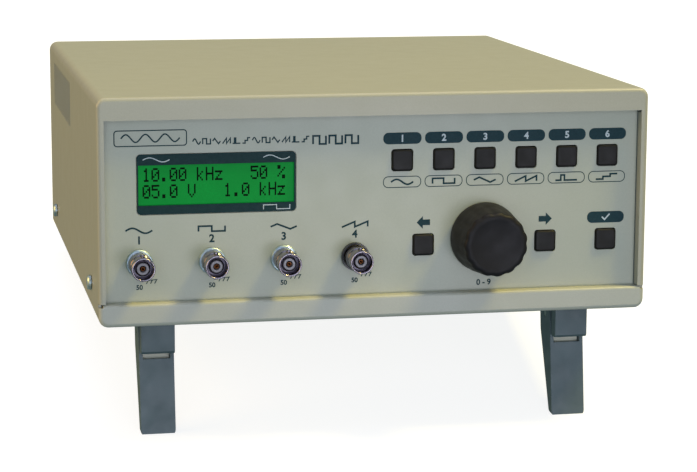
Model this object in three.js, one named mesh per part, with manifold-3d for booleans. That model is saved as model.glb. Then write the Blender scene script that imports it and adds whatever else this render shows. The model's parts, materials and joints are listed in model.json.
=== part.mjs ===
// Bench function generator: a sheet-metal case standing on two deployed tilt legs and two rear feet.
//
// Everything is built in the case's own axes, in millimetres: X across the front, Y from the front
// face to the back, Z up from the underside of the case. The finished case is then tipped back as
// the deployed legs hold it, and set down with its feet on Z = 0.

import * as THREE from "three";
import { mergeVertices } from "three/addons/utils/BufferGeometryUtils.js";
import Module from "manifold-3d";

const wasm = await Module();
wasm.setup();

// ---------------------------------------------------------------- driving dimensions

const CASE = { width: 232.5, height: 94.5, depth: 255 };
const SHEET = 1.2; // steel sheet of the cover and the tray
const GAP = 0.3; // clearance between neighbouring pieces
const CORNER = 4; // bend radius along the four long edges
const EDGE = 1.8; // bend radius where the sheet turns in at the front and the back

// The rim around the recessed front panel: three sides are folded from the cover, the bottom one
// from the tray.
const RIM = { sides: 3, top: 9.4, bottom: 9.5, depth: 4.7 };
const REAR_RIM = { sides: 4, top: 4, bottom: 8 };
const FLANGE = { top: 24, start: 9, end: 249 }; // tray flanges that take the side screws

const PANEL = { front: 5, back: 7, halfWidth: 114, low: 3, high: 91.5 };
const BACK = { front: 252, back: 253.5 };

const SIDE_VENT = { first: 132.5, pitch: 6, count: 16, width: 3, low: 66, high: 87 };
const BACK_VENT = { first: -98, pitch: 6, count: 13, width: 3, low: 38, high: 66 };
const SIDE_SCREW = { y: [32.3, 221.3], z: 13.1, head: 3.2, rise: 1.8, shank: 1.5, length: 9, slot: 0.9 };

const KEY = { size: 8.7, hole: 9.4, front: 3.9, back: 8.5, flange: 11.6, radius: 1, travel: 1 };
const KEY_ROW = { x: 11.05, z: 65.65, pitch: 17.78 };
const LOWER_ROW_Z = 29.7;
const ARROW_KEYS_X = [20.3, 73.3];
const ENTER_KEY_X = 99.9;
const SWITCH = { front: 12.4, size: 6, plunger: 3.2 };
const KEY_BOARD = { x: [0, 111], y: [16, 17.6], z: [18.2, 79] };

const KNOB = { x: 46.7, z: 32.2, foot: 14.9, face: 13.6, front: -15.6, back: 4.4, round: 1.8 };
const FLUTE = { count: 15, radius: 3.2, depth: 0.6, end: -2 };
const SHAFT = { radius: 3, front: -9.6, end: 13.5 };
const BUSHING = { radius: 4.3, front: -0.5 };
const ENCODER = { size: 13, back: 14.6 };

const JACK = { x: -99, pitch: 30, z: 25.8, mouth: -11, radius: 4.85, wall: 0.8, end: 12 };
const JACK_THREAD = 4.4; // radius of the threaded stem
const JACK_BORE_DEPTH = 6.5;
const JACK_COLLAR = { radius: 5.6, y: [3.2, PANEL.front - GAP] };
const DIELECTRIC = { bore: 1.3, radius: 2.6, y: [-8.6, 13.5] };
const CONTACT = { bore: 0.45, radius: 0.9, y: [-8.2, 15] };

const WINDOW = { x: -66.8, z: 58.1, width: 65.7, height: 24.7, film: 0.5 };
const VIEW = { width: 64.5, height: 16.6, z: 57.7 }; // visible area of the liquid-crystal cell
const CELL = { front: 6.2, step: 7.3, back: 9.8, width: 69, height: 23 };
const CELL_FRAME = { width: 73, height: 27, y: [7.4, 10.4] };
const CELL_BOARD = { width: 80, height: 34, y: [10.8, 12.4] };

const FOOT = { x: 90, halfWidth: 7.1, front: 19, back: 25, heel: 47, height: 16, chamfer: 1 };
const HINGE = { y: 34, z: -8, pin: 1.5, hub: 5.2 };
const LEG = { length: 44.3, halfWidth: 7.4, wall: 1.6, round: 7.4, lean: 7.4, tip: 4.6, sole: 4 };
const LEG_PLATE = { thickness: 2, top: 12.4, corner: 2.5 };
const LEG_RIB = { across: [-4.4, -1.6], along: [9.6, 13] }; // from the hinge pin
const REAR_FOOT = { start: 226, heel: 238, end: 242 };

const INLET = { x: 70, z: 48, plate: 1.6 };
const ROCKER = { x: 26, y: 252, z: 48, swing: 10 };
const BOARD = { x: [-105, 105], y: [24, 165], z: [12, 13.6], standoff: 3, inset: 8 };
const CHIPS = [
  { x: -60, y: 60, width: 36, depth: 16 },
  { x: -20, y: 80, width: 20, depth: 20 },
  { x: 30, y: 70, width: 28, depth: 16 },
  { x: 60, y: 120, width: 18, depth: 32 },
];
const CHIP_HEIGHT = 3.5;
const CORE = { at: [-70, 205, 26.6], half: [30, 13, 25], limb: 9 };
const COIL = { half: [20.5, 21, 15.6] };
const HEAT_SINK = {
  at: [60, 195, 21.6],
  halfWidth: 28,
  halfHeight: 20,
  plate: 4,
  fins: 8,
  fin: 1.8,
  reach: 16,
};
const CAPACITOR = { x: -5, y: 140, radius: 11, top: 44 };

// ---------------------------------------------------------------- standing position

// A point of a deployed leg: `behind` the hinge axis and `down` towards the tip.
const lean = THREE.MathUtils.degToRad(LEG.lean);
const legPoint = (behind, down) => [
  HINGE.y + behind * Math.cos(lean) - down * Math.sin(lean),
  HINGE.z - behind * Math.sin(lean) - down * Math.cos(lean),
];

// The instrument stands on the line from the tips of the legs to the heels of the rear feet.
const TIP = legPoint(-LEG.round, LEG.length);
const TILT = Math.atan2(-FOOT.height - TIP[1], REAR_FOOT.heel - TIP[0]);
const alongGround = (start, distance) => [
  start[0] + distance * Math.cos(TILT),
  start[1] + distance * Math.sin(TILT),
];

// ---------------------------------------------------------------- materials

const material = (color, roughness, metalness = 0) =>
  new THREE.MeshStandardMaterial({ color, roughness, metalness });

const beigePaint = material(0xb9b08c, 0.55);
const trayPaint = material(0xaeaa98, 0.55);
const panelPaint = material(0xa9afa9, 0.5);
const footPlastic = material(0x4f5a66, 0.6);
const blackPlastic = material(0x232323, 0.55);
const keyPlastic = material(0x2c2a2a, 0.6);
const nickel = material(0xb9b4b0, 0.25, 1);
const zinc = material(0xa8b0a8, 0.35, 1);
const gold = material(0xb8873a, 0.3, 1);
const whitePlastic = material(0xd8d6d0, 0.5);
const clearPlastic = material(0x2b3b49, 0.15);
const displayGlass = material(0x1fae3a, 0.3);
const circuitBoard = material(0x1f5c38, 0.6);
const transformerIron = material(0x4a4a4c, 0.6, 0.6);
const copperWire = material(0xa2572c, 0.4, 0.8);
const aluminium = material(0xb5b8ba, 0.4, 0.9);

// ---------------------------------------------------------------- shaping helpers

// A closed geometry as a solid, for cutting and joining.
function solid(geometry) {
  const bare = geometry.clone();
  bare.deleteAttribute("normal");
  bare.deleteAttribute("uv");
  const merged = mergeVertices(bare, 1e-4);
  return new wasm.Manifold(
    new wasm.Mesh({
      numProp: 3,
      vertProperties: new Float32Array(merged.attributes.position.array),
      triVerts: new Uint32Array(merged.index.array),
    }),
  );
}

function geometryOf(body) {
  const mesh = body.getMesh();
  const geometry = new THREE.BufferGeometry();
  geometry.setAttribute("position", new THREE.BufferAttribute(mesh.vertProperties, 3));
  geometry.setIndex(new THREE.BufferAttribute(mesh.triVerts, 1));
  geometry.computeVertexNormals();
  return geometry;
}

const join = (...pieces) => geometryOf(pieces.map(solid).reduce((a, b) => a.add(b)));

const cut = (piece, ...tools) =>
  geometryOf(tools.map(solid).reduce((a, b) => a.subtract(b), solid(piece)));

const common = (a, b) => geometryOf(solid(a).intersect(solid(b)));

function block(x, y, z) {
  const spans = [x, y, z];
  const size = spans.map(([low, high]) => high - low);
  const centre = spans.map(([low, high]) => (low + high) / 2);
  return new THREE.BoxGeometry(...size).translate(...centre);
}

const around = (centre, half) => [centre - half, centre + half];

const polygon = (points) => new THREE.Shape(points.map(([a, b]) => new THREE.Vector2(a, b)));

function disc(cx, cy, radius) {
  const shape = new THREE.Shape();
  shape.absarc(cx, cy, radius, 0, 2 * Math.PI);
  return shape;
}

function roundedRectangle(cx, cy, width, height, radius) {
  const [w, h] = [width / 2 - radius, height / 2 - radius];
  const quarter = Math.PI / 2;
  const shape = new THREE.Shape();
  shape.moveTo(cx - w, cy - h - radius);
  shape.lineTo(cx + w, cy - h - radius);
  shape.absarc(cx + w, cy - h, radius, -quarter, 0);
  shape.lineTo(cx + w + radius, cy + h);
  shape.absarc(cx + w, cy + h, radius, 0, quarter);
  shape.lineTo(cx - w, cy + h + radius);
  shape.absarc(cx - w, cy + h, radius, quarter, 2 * quarter);
  shape.lineTo(cx - w - radius, cy - h);
  shape.absarc(cx - w, cy - h, radius, 2 * quarter, 3 * quarter);
  return shape;
}

function hexagon(cx, cy, acrossFlats) {
  const radius = acrossFlats / Math.sqrt(3);
  const corners = [0, 1, 2, 3, 4, 5].map((i) => (i * Math.PI) / 3);
  return polygon(corners.map((a) => [cx + radius * Math.cos(a), cy + radius * Math.sin(a)]));
}

const extrude = (shape, depth, curveSegments) =>
  new THREE.ExtrudeGeometry(shape, { depth, curveSegments, bevelEnabled: false, steps: 1 });

// An outline drawn in X and Z, carried along Y.
const alongY = (shape, [from, to], curveSegments = 3) =>
  extrude(shape, to - from, curveSegments)
    .rotateX(Math.PI / 2)
    .translate(0, to, 0);

// An outline drawn in Y and Z, carried along X.
function alongX(shape, [from, to], curveSegments = 3) {
  const turn = new THREE.Matrix4().makeBasis(
    new THREE.Vector3(0, 1, 0),
    new THREE.Vector3(0, 0, 1),
    new THREE.Vector3(1, 0, 0),
  );
  return extrude(shape, to - from, curveSegments)
    .applyMatrix4(turn)
    .translate(from, 0, 0);
}

// An outline drawn in X and Y, carried up Z.
const alongZ = (shape, [from, to], curveSegments = 3) =>
  extrude(shape, to - from, curveSegments).translate(0, 0, from);

// A profile of [radius, y] points, drawn anticlockwise, turned about the Y axis. One that keeps
// off the axis is closed on itself.
function turned(profile, segments = 20) {
  const points = profile.map(([radius, y]) => new THREE.Vector2(radius, y));
  if (profile[0][0] > 0) points.push(points[0].clone());
  return new THREE.LatheGeometry(points, segments);
}

const tube = (inner, outer, [from, to], segments) =>
  turned([[inner, from], [outer, from], [outer, to], [inner, to]], segments);

const rod = (radius, span, segments) => tube(0, radius, span, segments);

const instrument = new THREE.Group();

function place(name, geometry, finish, [x, y, z] = [0, 0, 0]) {
  const mesh = new THREE.Mesh(geometry, finish);
  mesh.name = name;
  mesh.position.set(x, y, z);
  instrument.add(mesh);
}

// The same piece on both sides of the case, at plus and minus x.
const SIDES = { left: -1, right: 1 };
const onBothSides = (build) => Object.entries(SIDES).forEach(([side, sign]) => build(side, sign));

// ---------------------------------------------------------------- case

const halfWidth = CASE.width / 2;

// The closed box the sheet metal is bent around, shrunk by `inset` on every face.
function caseEnvelope(inset) {
  const outline = roundedRectangle(
    0,
    CASE.height / 2,
    CASE.width - 2 * inset,
    CASE.height - 2 * inset,
    CORNER - inset,
  );
  const bend = EDGE - inset;
  const depth = CASE.depth - 2 * inset - 2 * bend;
  return new THREE.ExtrudeGeometry(outline, {
    depth,
    curveSegments: 3,
    bevelSegments: 4,
    bevelThickness: bend,
    bevelSize: bend,
    bevelOffset: -bend,
  })
    .rotateX(Math.PI / 2)
    .translate(0, CASE.depth - inset - bend, 0);
}

const sheetShell = cut(caseEnvelope(0), caseEnvelope(SHEET));
const beyond = 10; // how far a cutting block reaches past the case

// Everything in front of (or behind) the case's front (or back) skin, below a height.
const belowFront = (z) => block(around(0, halfWidth + beyond), [-beyond, EDGE + GAP], [-beyond, z]);
const belowBack = (z) =>
  block(
    around(0, halfWidth + beyond),
    [CASE.depth - EDGE - GAP, CASE.depth + beyond],
    [-beyond, z],
  );
const belowAll = (z) =>
  block(around(0, halfWidth + beyond), [-beyond, CASE.depth + beyond], [-2 * beyond, z]);

const archway = (sides, top, y) =>
  block(around(0, halfWidth - sides), y, [-beyond, CASE.height - top]);

function screwHoles(radius) {
  const centres = SIDE_SCREW.y.map((y) => disc(y, SIDE_SCREW.z, radius));
  return centres.map((centre) => alongX(centre, around(0, halfWidth + beyond), 6));
}

function sideVents() {
  const middle = (SIDE_VENT.low + SIDE_VENT.high) / 2;
  const length = SIDE_VENT.high - SIDE_VENT.low;
  return Array.from({ length: SIDE_VENT.count }, (_, i) => {
    const y = SIDE_VENT.first + i * SIDE_VENT.pitch;
    const slot = roundedRectangle(y, middle, SIDE_VENT.width, length, SIDE_VENT.width / 2 - 0.05);
    return alongX(slot, around(0, halfWidth + beyond), 1);
  });
}

function upperCover() {
  const returns = cut(
    archway(RIM.sides - SHEET, RIM.top - SHEET, [SHEET / 2, RIM.depth]),
    archway(RIM.sides, RIM.top, [0, RIM.depth + 1]),
    belowAll(RIM.bottom + GAP),
  );
  const corner = [halfWidth - RIM.sides, CASE.height - RIM.top];
  const relief = Object.values(SIDES).map((sign) =>
    block(around(sign * corner[0], SHEET), [SHEET, RIM.depth + 1], around(corner[1], SHEET)),
  );
  const skin = cut(
    sheetShell,
    belowAll(CORNER + GAP),
    belowFront(RIM.bottom + GAP),
    belowBack(REAR_RIM.bottom + GAP),
    archway(RIM.sides, RIM.top, [-1, SHEET + 1]),
    archway(REAR_RIM.sides, REAR_RIM.top, [CASE.depth - SHEET - 1, CASE.depth + 1]),
    ...sideVents(),
    ...screwHoles(SIDE_SCREW.shank + GAP),
  );
  return cut(join(skin, returns), ...relief);
}

// The bent-over top edge of the tray's front: a quarter-round bend, then a narrow ledge.
function trayLedge() {
  const low = RIM.bottom - SHEET;
  const outline = new THREE.Shape();
  outline.moveTo(0, low - 0.2);
  outline.lineTo(SHEET, low - 0.2);
  outline.lineTo(SHEET, low);
  outline.lineTo(RIM.depth, low);
  outline.lineTo(RIM.depth, RIM.bottom);
  outline.lineTo(SHEET, RIM.bottom);
  outline.absarc(SHEET, low, SHEET, Math.PI / 2, Math.PI);
  return alongX(outline, around(0, halfWidth - EDGE), 3);
}

function lowerTray() {
  const top = CASE.height + beyond;
  const above = (z, y) => block(around(0, halfWidth + beyond), y, [z, top]);
  const skin = cut(
    sheetShell,
    above(CORNER, [EDGE, CASE.depth - EDGE]),
    above(RIM.bottom - SHEET, [-1, EDGE + 1]),
    above(REAR_RIM.bottom, [CASE.depth - EDGE - 1, CASE.depth + 1]),
  );
  const flanges = Object.values(SIDES).map((sign) => {
    const x = sign * (halfWidth - 1.5 * SHEET - GAP);
    return block(around(x, SHEET / 2), [FLANGE.start, FLANGE.end], [SHEET, FLANGE.top]);
  });
  const { inset, standoff } = BOARD;
  const standoffs = [BOARD.x[0] + inset, BOARD.x[1] - inset].flatMap((x) =>
    [BOARD.y[0] + inset, BOARD.y[1] - inset].map((y) =>
      alongZ(disc(x, y, standoff), [SHEET / 2, BOARD.z[0] - GAP], 6),
    ),
  );
  return cut(
    join(skin, trayLedge(), ...flanges, ...standoffs),
    ...screwHoles(SIDE_SCREW.shank + GAP),
  );
}

// Pan-head screw lying along X, its head outside the case on the side given by sign.
function sideScrew(sign) {
  const seat = halfWidth + GAP;
  const { head, rise, shank, length, slot } = SIDE_SCREW;
  const profile = [
    [0, seat - length],
    [shank, seat - length],
    [shank, seat],
    [head, seat],
    [head, seat + 0.5 * rise],
    [0.75 * head, seat + 0.9 * rise],
    [0, seat + rise],
  ];
  const recess = [seat + 0.4 * rise, seat + 2 * rise];
  const arm = 0.62 * head;
  const upright = block(around(0, slot / 2), recess, around(0, arm));
  const level = block(around(0, arm), recess, around(0, slot / 2));
  return cut(turned(profile, 24), upright, level).rotateZ((-sign * Math.PI) / 2);
}

place("upper_cover", upperCover(), beigePaint);
place("lower_tray", lowerTray(), trayPaint);
onBothSides((side, sign) =>
  SIDE_SCREW.y.forEach((y, i) =>
    place(`screw_${side}_${["front", "rear"][i]}`, sideScrew(sign), zinc, [0, y, SIDE_SCREW.z]),
  ),
);

// ---------------------------------------------------------------- keys

const upperKeys = Array.from({ length: 6 }, (_, i) => ({
  name: `key_${i + 1}`,
  x: KEY_ROW.x + i * KEY_ROW.pitch,
  z: KEY_ROW.z,
}));
const keys = [
  ...upperKeys,
  { name: "key_arrow_left", x: ARROW_KEYS_X[0], z: LOWER_ROW_Z },
  { name: "key_arrow_right", x: ARROW_KEYS_X[1], z: LOWER_ROW_Z },
  { name: "key_enter", x: ENTER_KEY_X, z: LOWER_ROW_Z },
];

// Square cap, the flange that keeps it behind the panel, and the stem down to its switch.
function keyCap() {
  const { size, hole, radius, front, back, travel } = KEY;
  const cap = roundedRectangle(0, 0, size, size, radius);
  const lip = [PANEL.back + 0.5, back + 0.4];
  const flange = block(around(0, KEY.flange / 2), lip, around(0, hole / 2));
  const plunger = around(0, SWITCH.plunger / 2);
  const stem = block(plunger, [back, SWITCH.front - GAP - travel], plunger);
  return join(alongY(cap, [front, back], 2), flange, stem);
}

function keyBoard() {
  const half = SWITCH.size / 2;
  const switches = keys.map(({ x, z }) =>
    block(around(x, half), [SWITCH.front, KEY_BOARD.y[0] + 0.5], around(z, half)),
  );
  return join(block(KEY_BOARD.x, KEY_BOARD.y, KEY_BOARD.z), ...switches);
}

keys.forEach(({ name, x, z }) => place(name, keyCap(), keyPlastic, [x, 0, z]));
place("key_board", keyBoard(), circuitBoard);

// ---------------------------------------------------------------- knob and its encoder

// Bell-shaped knob with a rounded front edge. Its finger flutes are deepest at the face and lean
// outwards, so that they run out before the smooth round foot.
function controlKnob() {
  const { foot, face, front, back, round } = KNOB;
  const steps = [0, 1, 2, 3, 4].map((i) => (i * Math.PI) / 8);
  const rounding = steps.map((a) => [
    face - round + round * Math.sin(a),
    front + round - round * Math.cos(a),
  ]);
  const hollow = { radius: 10, floor: -1 };
  const socket = { radius: SHAFT.radius + GAP, floor: SHAFT.front - 0.4 };
  const profile = [
    [0, front],
    ...rounding,
    [foot, back],
    [hollow.radius, back],
    [hollow.radius, hollow.floor],
    [socket.radius, hollow.floor],
    [socket.radius, socket.floor],
    [0, socket.floor],
  ];
  const start = front + round;
  const sideRadius = (y) => face + ((foot - face) * (y - start)) / (back - start);
  const leanOut = Math.atan2(sideRadius(FLUTE.end) - face + FLUTE.depth, FLUTE.end - start);
  const flute = new THREE.CylinderGeometry(FLUTE.radius, FLUTE.radius, 4 * foot, 16)
    .rotateX(leanOut)
    .translate(0, start, face - FLUTE.depth + FLUTE.radius / Math.cos(leanOut));
  const flutes = Array.from({ length: FLUTE.count }, (_, i) =>
    flute.clone().rotateY((i * 2 * Math.PI) / FLUTE.count),
  );
  return cut(turned(profile, 72), ...flutes);
}

function encoderBody() {
  const half = ENCODER.size / 2;
  const housing = block(around(0, half), [PANEL.back + GAP, ENCODER.back], around(0, half));
  const bushing = rod(BUSHING.radius, [BUSHING.front, PANEL.back + 1], 20);
  return cut(join(housing, bushing), rod(SHAFT.radius + GAP, [-1, 20], 20));
}

function panelNut(acrossFlats, thread, y) {
  return cut(alongY(hexagon(0, 0, acrossFlats), y), rod(thread + GAP, [y[0] - 1, y[1] + 1]));
}

const knobAxis = [KNOB.x, 0, KNOB.z];
const encoderNut = panelNut(11, BUSHING.radius, [2.4, PANEL.front - 0.4]);
place("control_knob", controlKnob(), blackPlastic, knobAxis);
place("encoder_shaft", rod(SHAFT.radius, [SHAFT.front, SHAFT.end]), nickel, knobAxis);
place("encoder_body", encoderBody(), nickel, knobAxis);
place("encoder_nut", encoderNut, nickel, knobAxis);

// ---------------------------------------------------------------- coaxial jacks

const JACKS = 4;
const INSULATED = JACKS - 1; // the last jack is held off the panel by a plastic bush

// Bayonet shell: open mouth, two lugs, and the threaded stem through the panel.
function jackShell(collarRadius) {
  const { mouth, radius, wall, end } = JACK;
  const [collarFront, collarBack] = JACK_COLLAR.y;
  const bore = DIELECTRIC.radius + GAP;
  const floor = mouth + JACK_BORE_DEPTH;
  const shell = turned([
    [bore, end],
    [bore, floor],
    [radius - wall, floor],
    [radius - wall, mouth + 0.4],
    [radius - wall / 2, mouth],
    [radius, mouth + 0.3],
    [radius, collarFront],
    [collarRadius, collarFront],
    [collarRadius, collarBack],
    [JACK_THREAD, collarBack],
    [JACK_THREAD, end],
  ], 24);
  const lugRadius = 1;
  const lugBehindMouth = 4.4;
  const lug = alongZ(disc(0, mouth + lugBehindMouth, lugRadius), [radius - 0.5, radius + 0.75], 6);
  return join(shell, lug, lug.clone().rotateY(Math.PI));
}

for (let i = 0; i < JACKS; i++) {
  const at = [JACK.x + i * JACK.pitch, 0, JACK.z];
  const label = `jack_${i + 1}`;
  const insulated = i === INSULATED;
  const collarRadius = insulated ? JACK.radius + 0.01 : JACK_COLLAR.radius;
  const insulator = tube(DIELECTRIC.bore, DIELECTRIC.radius, DIELECTRIC.y, 14);
  const contact = tube(CONTACT.bore, CONTACT.radius, CONTACT.y, 12);
  const nut = panelNut(13, JACK_THREAD, [PANEL.back + 0.4, PANEL.back + 2.6]);
  place(`${label}_shell`, jackShell(collarRadius), nickel, at);
  place(`${label}_insulator`, insulator, whitePlastic, at);
  place(`${label}_contact`, contact, gold, at);
  place(`${label}_nut`, nut, nickel, at);
  if (insulated) {
    const bushFront = JACK_COLLAR.y[0] - 0.8;
    const bush = tube(
      JACK.radius + GAP,
      JACK_COLLAR.radius + 0.3,
      [bushFront, JACK_COLLAR.y[1]],
      24,
    );
    place(`${label}_bush`, bush, blackPlastic, at);
  }
}

// ---------------------------------------------------------------- front panel and display

function frontPanel() {
  const { front, back } = PANEL;
  const through = [front - 1, back + 1];
  const sheet = block(around(0, PANEL.halfWidth), [front, back], [PANEL.low, PANEL.high]);
  const keyHoles = keys.map(({ x, z }) =>
    alongY(roundedRectangle(x, z, KEY.hole, KEY.hole, KEY.radius + 0.3), through, 2),
  );
  const jackHoles = Array.from({ length: JACKS }, (_, i) =>
    alongY(disc(JACK.x + i * JACK.pitch, JACK.z, JACK_THREAD + GAP), through, 8),
  );
  const knobHole = alongY(disc(KNOB.x, KNOB.z, BUSHING.radius + GAP), through, 8);
  const { x, z, width, height } = WINDOW;
  const pocket = alongY(
    roundedRectangle(x, z, width + 2 * GAP, height + 2 * GAP, 1.9),
    [front - 1, front + WINDOW.film + 0.4],
    2,
  );
  const opening = block(
    around(x, VIEW.width / 2 + 0.4),
    through,
    around(VIEW.z, VIEW.height / 2 + 0.4),
  );
  return cut(sheet, ...keyHoles, ...jackHoles, knobHole, pocket, opening);
}

// Liquid-crystal cell: the visible part stands in the panel's opening, a wider body behind it.
function displayCell() {
  const { front, step, back, width, height } = CELL;
  const x = WINDOW.x;
  return join(
    block(around(x, VIEW.width / 2), [front, step + 1], around(VIEW.z, VIEW.height / 2)),
    block(around(x, width / 2), [step, back], around(VIEW.z, height / 2)),
  );
}

function displayFrame() {
  const { width, height, y } = CELL_FRAME;
  const frame = block(around(WINDOW.x, width / 2), y, around(VIEW.z, height / 2));
  const cell = block(
    around(WINDOW.x, CELL.width / 2 + GAP),
    [y[0] - 1, y[1] + 1],
    around(VIEW.z, CELL.height / 2 + GAP),
  );
  return cut(frame, cell);
}

function displayFilm() {
  const { x, z, width, height, film } = WINDOW;
  return alongY(roundedRectangle(x, z, width, height, 1.6), [PANEL.front, PANEL.front + film], 2);
}

function displayBoard() {
  const { width, height, y } = CELL_BOARD;
  return block(around(WINDOW.x, width / 2), y, around(VIEW.z, height / 2));
}

place("front_panel", frontPanel(), panelPaint);
place("display_window", displayFilm(), clearPlastic);
place("display_cell", displayCell(), displayGlass);
place("display_frame", displayFrame(), zinc);
place("display_board", displayBoard(), circuitBoard);

// ---------------------------------------------------------------- tilt legs and feet

// Bracket under the case: a block in front of the leg, and the tongue the leg is pinned to.
function footBracket() {
  const top = -GAP;
  const { front, back, heel, height, halfWidth: width, chamfer } = FOOT;
  const wedge = alongX(
    polygon([
      [front + chamfer, top],
      [front, top - chamfer],
      [front, chamfer - height],
      [front + chamfer, -height],
      [back, -height],
      [back, top],
    ]),
    around(0, width),
  );
  const hubBottom = HINGE.z - HINGE.hub;
  const outline = new THREE.Shape();
  outline.moveTo(back - 1, top);
  outline.lineTo(back - 1, hubBottom);
  outline.lineTo(HINGE.y, hubBottom);
  outline.absarc(HINGE.y, HINGE.z, HINGE.hub, -Math.PI / 2, -Math.PI / 4);
  outline.lineTo(heel, top - 3);
  outline.lineTo(heel, top);
  const tongue = alongX(outline, around(0, LEG.halfWidth - LEG.wall - 1.5 * GAP), 3);
  return cut(join(wedge, tongue), hingeBore());
}

const hingeBore = () =>
  alongX(disc(HINGE.y, HINGE.z, HINGE.pin + GAP), around(0, 10), 8);

// Channel-shaped leg: a front plate between two side walls that taper to the tip. The walls reach
// up past the plate to the hinge pin and leave a slot under the bracket, with a stiffening rib
// across the channel behind it.
function tiltLeg() {
  const { round, wall, length, sole } = LEG;
  const { thickness, top, corner } = LEG_PLATE;
  const profile = new THREE.Shape();
  profile.absarc(HINGE.y, HINGE.z, round, Math.PI - lean, -lean, true);
  const corners = [legPoint(round, round), alongGround(TIP, LEG.tip), TIP];
  corners.forEach(([y, z]) => profile.lineTo(y, z));
  const far = 30; // well past the leg
  const inside = polygon([
    legPoint(-round + thickness, top),
    legPoint(-far, top),
    legPoint(-far, -far),
    legPoint(far, -far),
    legPoint(far, length - sole),
    legPoint(-round + thickness, length - sole),
  ]);
  const bottom = TIP[1] - 1;
  const softTip = alongY(
    roundedRectangle(0, (bottom + far) / 2, 2 * LEG.halfWidth, far - bottom, corner),
    [0, 80],
    2,
  );
  const channel = cut(
    alongX(profile, around(0, LEG.halfWidth), 6),
    alongX(inside, around(0, LEG.halfWidth - wall)),
    hingeBore(),
  );
  const [ribFront, ribBack] = LEG_RIB.across;
  const [ribTop, ribLow] = LEG_RIB.along;
  const rib = alongX(
    polygon([
      legPoint(ribFront, ribTop),
      legPoint(ribBack, ribTop),
      legPoint(ribBack, ribLow),
      legPoint(ribFront, ribLow),
    ]),
    around(0, LEG.halfWidth - wall / 2),
  );
  return common(join(channel, rib), softTip);
}

function rearFoot() {
  const top = -GAP;
  const heel = [REAR_FOOT.heel, -FOOT.height];
  const end = alongGround(heel, REAR_FOOT.end - REAR_FOOT.heel);
  const outline = polygon([
    [REAR_FOOT.start, top],
    [REAR_FOOT.start, FOOT.chamfer - FOOT.height],
    [REAR_FOOT.start + FOOT.chamfer, -FOOT.height],
    heel,
    end,
    [end[0], top],
  ]);
  return alongX(outline, around(0, FOOT.halfWidth));
}

onBothSides((side, sign) => {
  const at = [sign * FOOT.x, 0, 0];
  const pin = alongX(disc(HINGE.y, HINGE.z, HINGE.pin), around(0, LEG.halfWidth - 0.1), 8);
  place(`foot_bracket_${side}`, footBracket(), footPlastic, at);
  place(`tilt_leg_${side}`, tiltLeg(), footPlastic, at);
  place(`hinge_pin_${side}`, pin, zinc, at);
  place(`rear_foot_${side}`, rearFoot(), footPlastic, at);
});

// ---------------------------------------------------------------- back of the case

const INLET_FACE = BACK.back + GAP + INLET.plate;
const INLET_BODY = { halfWidth: 13.8, low: -15, high: 12, front: 234, lip: 1.7 };
const SOCKET = { halfWidth: 12, low: -6, high: 10, chamfer: 4.5, depth: 240 };
const BLADES = { at: [[-7, 1], [0, 5], [7, 1]], thickness: 2, height: 4, end: INLET_FACE - 6 };
const DRAWER = { halfWidth: 10.6, low: -13.4, high: -8.4, front: 238, fuseRadius: 3.2, grip: 3 };
const ROCKER_BODY = { halfWidth: 6.2, halfHeight: 9.2, front: 242, wall: 1.2, lip: 1.4, rise: 1.5 };
const ROCKER_FACE = { half: 7, rise: 4.2, dip: 3.2, hub: -3, hubHalf: 4 };

function rearPanel() {
  const through = [BACK.front - 1, BACK.back + 1];
  const sheet = block(around(0, PANEL.halfWidth), [BACK.front, BACK.back], [PANEL.low, PANEL.high]);
  const inlet = block(
    around(INLET.x, INLET_BODY.halfWidth + GAP),
    through,
    [INLET.z + INLET_BODY.low - GAP, INLET.z + INLET_BODY.high + GAP],
  );
  const rocker = block(
    around(ROCKER.x, ROCKER_BODY.halfWidth + GAP),
    through,
    around(ROCKER.z, ROCKER_BODY.halfHeight + GAP),
  );
  const middle = (BACK_VENT.low + BACK_VENT.high) / 2;
  const length = BACK_VENT.high - BACK_VENT.low;
  const vents = Array.from({ length: BACK_VENT.count }, (_, i) => {
    const x = BACK_VENT.first + i * BACK_VENT.pitch;
    const slot = roundedRectangle(x, middle, BACK_VENT.width, length, BACK_VENT.width / 2 - 0.05);
    return alongY(slot, through, 1);
  });
  return cut(sheet, inlet, rocker, ...vents);
}

// Mains inlet: a socket with three blades, over the slot of the fuse drawer.
function powerInlet() {
  const { halfWidth: w, low, high, front, lip } = INLET_BODY;
  const body = block(around(0, w), [front, INLET_FACE], [low, high]);
  const flange = block(around(0, w + lip), [BACK.back + GAP, INLET_FACE], [low - 2, high + 2]);
  const { halfWidth: s, low: floor, high: roof, chamfer, depth } = SOCKET;
  const mouth = alongY(
    polygon([
      [-s, floor],
      [s, floor],
      [s, roof - chamfer],
      [s - chamfer, roof],
      [chamfer - s, roof],
      [-s, roof - chamfer],
    ]),
    [depth, INLET_FACE + 1],
  );
  const slot = block(
    around(0, DRAWER.halfWidth + GAP),
    [DRAWER.front - 1, INLET_FACE + 1],
    [DRAWER.low - GAP, DRAWER.high + GAP],
  );
  const blades = BLADES.at.map(([x, z]) =>
    block(around(x, BLADES.thickness / 2), [depth - 1, BLADES.end], around(z, BLADES.height / 2)),
  );
  return join(cut(join(body, flange), mouth, slot), ...blades);
}

function fuseDrawer() {
  const { halfWidth: w, low, high, front, fuseRadius, grip } = DRAWER;
  const tray = block(around(0, w), [front, INLET_FACE], [low, high]);
  const fuse = block(around(0, fuseRadius), [front + 3, INLET_FACE - 4], [low + 1.4, 0]);
  const notch = block(around(0, grip), [INLET_FACE - 0.9, INLET_FACE + 1], [high - 1.4, 0]);
  return cut(tray, fuse, notch);
}

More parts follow.
